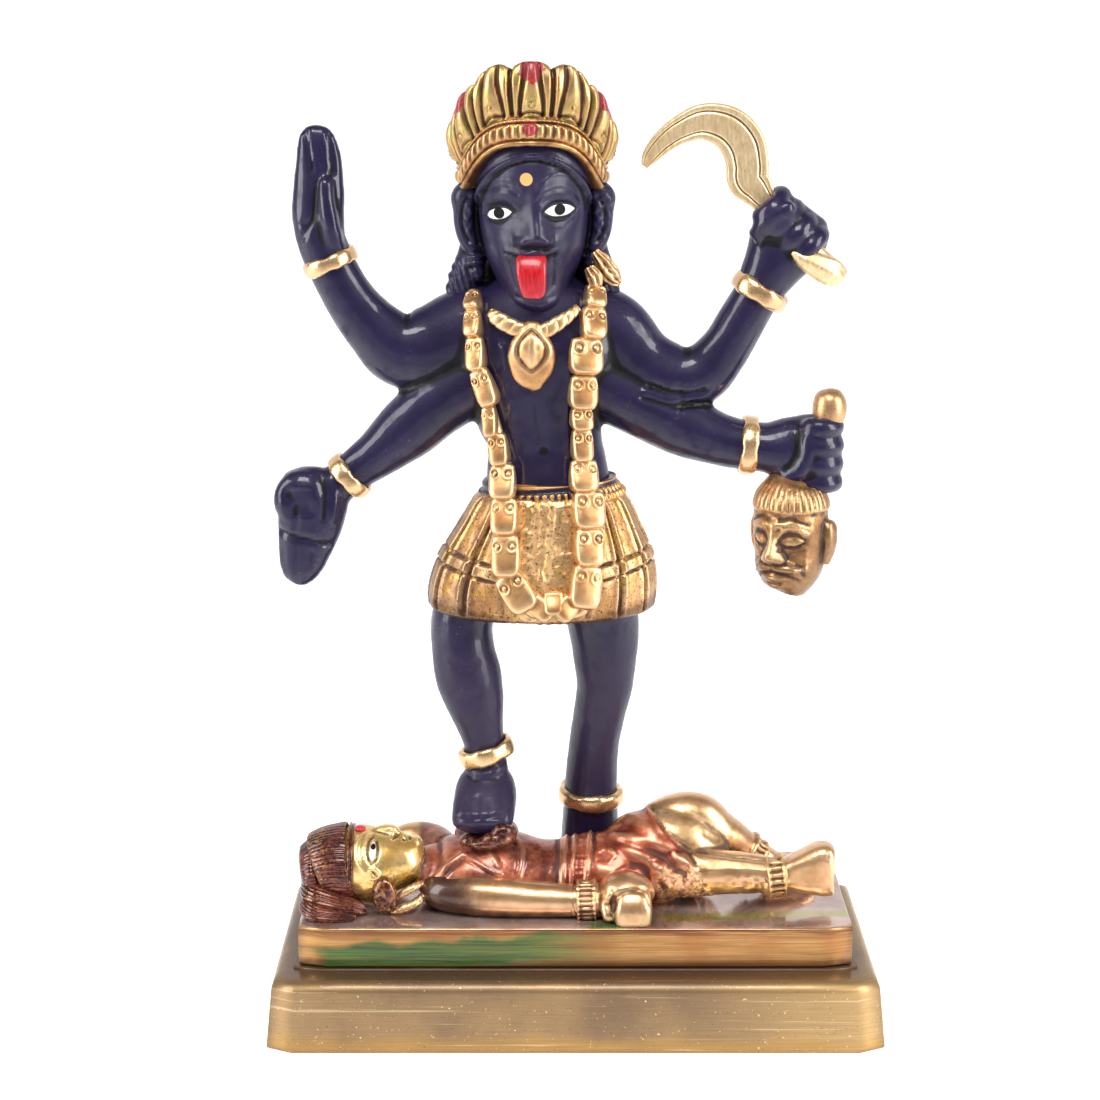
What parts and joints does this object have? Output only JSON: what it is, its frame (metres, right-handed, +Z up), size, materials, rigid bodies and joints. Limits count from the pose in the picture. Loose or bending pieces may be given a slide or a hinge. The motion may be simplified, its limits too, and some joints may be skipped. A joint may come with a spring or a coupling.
{
  "type": "kali figure",
  "caption": "Painted cast-brass four-armed goddess with crown, sickle and severed head, standing on a reclining figure on a stepped rectangular plinth.",
  "frame": {"origin": "centre of the plinth's underside", "axes": "+Z up from the underside to the crown, -Y out of the front towards the viewer, +X to the viewer's right, along the plinth's long side"},
  "size_m": [0.1278, 0.0638, 0.2],
  "materials": {
    "plinth_brass": "brushed brass under clear lacquer, with fine scratches, bright specks and darker patina along the edges",
    "copper_lacquer": "glossy copper-brown tinted lacquer over cast brass, with yellow-gold face and brass limbs and green smears",
    "black_paint": "satin near-black paint with a blue-violet tint under lacquer",
    "antique_brass": "antique brass, bright on the high spots and brown in the hollows, with yellow-green tints",
    "brushed_brass": "flat brushed brass with engraved lines",
    "polished_brass": "polished brass under clear lacquer"
  },
  "bodies": {
    "root": {"plinth": "plinth_brass", "reclining_figure_slab": "copper_lacquer", "standing_figure": "black_paint", "sickle": "brushed_brass"}
  },
  "joints": []
}
